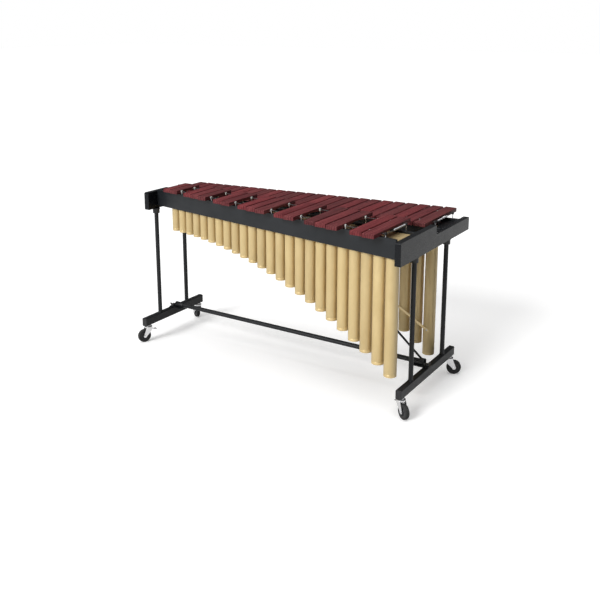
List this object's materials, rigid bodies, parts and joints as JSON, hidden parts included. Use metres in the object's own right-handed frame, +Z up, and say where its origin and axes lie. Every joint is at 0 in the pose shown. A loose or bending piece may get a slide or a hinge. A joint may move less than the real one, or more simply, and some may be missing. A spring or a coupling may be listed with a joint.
{
  "type": "marimba",
  "caption": "Free-standing keyboard percussion instrument with wooden bars, tapered black frame, gold resonator tubes and a black stand on swivel casters.",
  "frame": {"origin": "on the floor, under the middle of the crossbar, at the centre of the object's footprint", "axes": "+X runs along the instrument towards the low notes, +Y from the raised bars towards the player's side, +Z up"},
  "size_m": [1.7412, 0.8556, 0.893],
  "materials": {
    "deck_black": "satin black lacquer on wood",
    "deck_side": "satin black lacquer on wood",
    "bar_wood": "oiled red-brown hardwood",
    "cord": "dark braided cord",
    "spring_steel": "plain spring steel",
    "post_steel": "plated steel pins",
    "hook_rubber": "soft light grey sleeves",
    "tube_gold": "champagne gold painted tubes",
    "stopper": "spun discs",
    "plate_gold": "champagne gold painted plate",
    "bracket_black": "satin black",
    "strap_gold": "satin",
    "screw_steel": "plated",
    "stand_black": "textured black powder coat",
    "collar_black": "moulded black",
    "cap_black": "moulded black",
    "knob_black": "moulded black",
    "caster_chrome": "bright plated pressing",
    "stem_steel": "plated",
    "tyre_black": "black rubber",
    "hub_black": "moulded black",
    "plate_black": "satin black paint",
    "end_sleeve": "soft black sleeves",
    "pedal_steel": "plated pressing"
  },
  "bodies": {
    "frame": {"front_rail": "deck_black", "back_rail": "deck_black", "raised_inner_rail": "deck_black", "lower_inner_rail": "deck_black", "low_end_board": "deck_side", "high_end_board": "deck_side", "inner_rail_ties": "deck_black", "screw_heads": "screw_steel", "natural_bars_octave_1": "bar_wood", "natural_bars_octave_2": "bar_wood", "natural_bars_octave_3": "bar_wood", "natural_bars_top": "bar_wood", "accidental_bars_octave_1": "bar_wood", "accidental_bars_octave_2": "bar_wood", "accidental_bars_octave_3": "bar_wood", "accidental_bars_top": "bar_wood", "natural_bar_cord": "cord", "accidental_bar_cord": "cord", "cord_springs": "spring_steel", "natural_posts": "post_steel", "accidental_posts": "post_steel", "post_hooks": "hook_rubber", "cord_end_hooks": "end_sleeve", "natural_resonators_low": "tube_gold", "natural_resonators_high": "tube_gold", "accidental_resonators_low": "tube_gold", "accidental_resonators_high": "tube_gold", "resonator_stoppers": "stopper", "accidental_top_plate": "plate_gold", "deck_brackets": "bracket_black", "tube_tie_strap": "strap_gold", "natural_top_plate": "plate_black", "low_front_leg": "stand_black", "low_back_leg": "stand_black", "high_front_leg": "stand_black", "high_back_leg": "stand_black", "leg_collars": "collar_black", "low_foot_beam": "stand_black", "high_foot_beam": "stand_black", "foot_end_caps": "cap_black", "crossbar": "stand_black", "crossbar_saddles": "stand_black", "diagonal_brace": "stand_black", "caster_stems": "stem_steel"},
    "front_high_caster": {"front_high_fork": "caster_chrome"},
    "front_high_wheel": {"front_high_tyre": "tyre_black", "front_high_hub": "hub_black"},
    "front_high_brake": {"front_high_brake_pedal": "pedal_steel"},
    "back_high_caster": {"back_high_fork": "caster_chrome"},
    "back_high_wheel": {"back_high_tyre": "tyre_black", "back_high_hub": "hub_black"},
    "front_low_caster": {"front_low_fork": "caster_chrome"},
    "front_low_wheel": {"front_low_tyre": "tyre_black", "front_low_hub": "hub_black"},
    "front_low_brake": {"front_low_brake_pedal": "pedal_steel"},
    "back_low_caster": {"back_low_fork": "caster_chrome"},
    "back_low_wheel": {"back_low_tyre": "tyre_black", "back_low_hub": "hub_black"},
    "low_knob": {"low_wing_knob": "knob_black"},
    "high_knob": {"high_wing_knob": "knob_black"}
  },
  "joints": [
    {"name": "front_high_swivel", "type": "hinge", "parent": "frame", "child": "front_high_caster", "pos_m": [-0.812, -0.221, 0.09], "axis": [0, 0, 1], "continuous": true},
    {"name": "front_high_roll", "type": "hinge", "parent": "front_high_caster", "child": "front_high_wheel", "pos_m": [-0.82257, -0.24475, 0.0375], "axis": [0.9135, -0.4067, 0], "continuous": true},
    {"name": "front_high_brake_press", "type": "hinge", "parent": "front_high_caster", "child": "front_high_brake", "pos_m": [-0.80834, -0.21278, 0.074], "axis": [0.9135, -0.4067, 0], "range_deg": [-18, 0]},
    {"name": "back_high_swivel", "type": "hinge", "parent": "frame", "child": "back_high_caster", "pos_m": [-0.812, 0.221, 0.09], "axis": [0, 0, 1], "continuous": true},
    {"name": "back_high_roll", "type": "hinge", "parent": "back_high_caster", "child": "back_high_wheel", "pos_m": [-0.83429, 0.23439, 0.0375], "axis": [-0.515, -0.8572, 0], "continuous": true},
    {"name": "front_low_swivel", "type": "hinge", "parent": "frame", "child": "front_low_caster", "pos_m": [0.812, -0.284, 0.09], "axis": [0, 0, 1], "continuous": true},
    {"name": "front_low_roll", "type": "hinge", "parent": "front_low_caster", "child": "front_low_wheel", "pos_m": [0.83381, -0.29816, 0.0375], "axis": [0.5446, 0.8387, 0], "continuous": true},
    {"name": "front_low_brake_press", "type": "hinge", "parent": "front_low_caster", "child": "front_low_brake", "pos_m": [0.80445, -0.2791, 0.074], "axis": [0.5446, 0.8387, 0], "range_deg": [-18, 0]},
    {"name": "back_low_swivel", "type": "hinge", "parent": "frame", "child": "back_low_caster", "pos_m": [0.812, 0.284, 0.09], "axis": [0, 0, 1], "continuous": true},
    {"name": "back_low_roll", "type": "hinge", "parent": "back_low_caster", "child": "back_low_wheel", "pos_m": [0.83429, 0.29739, 0.0375], "axis": [-0.515, 0.8572, 0], "continuous": true},
    {"name": "low_knob_turn", "type": "hinge", "parent": "frame", "child": "low_knob", "pos_m": [0.812, 0, 0.147], "axis": [0, 0, 1], "continuous": true},
    {"name": "high_knob_turn", "type": "hinge", "parent": "frame", "child": "high_knob", "pos_m": [-0.812, 0, 0.147], "axis": [0, 0, 1], "continuous": true}
  ]
}
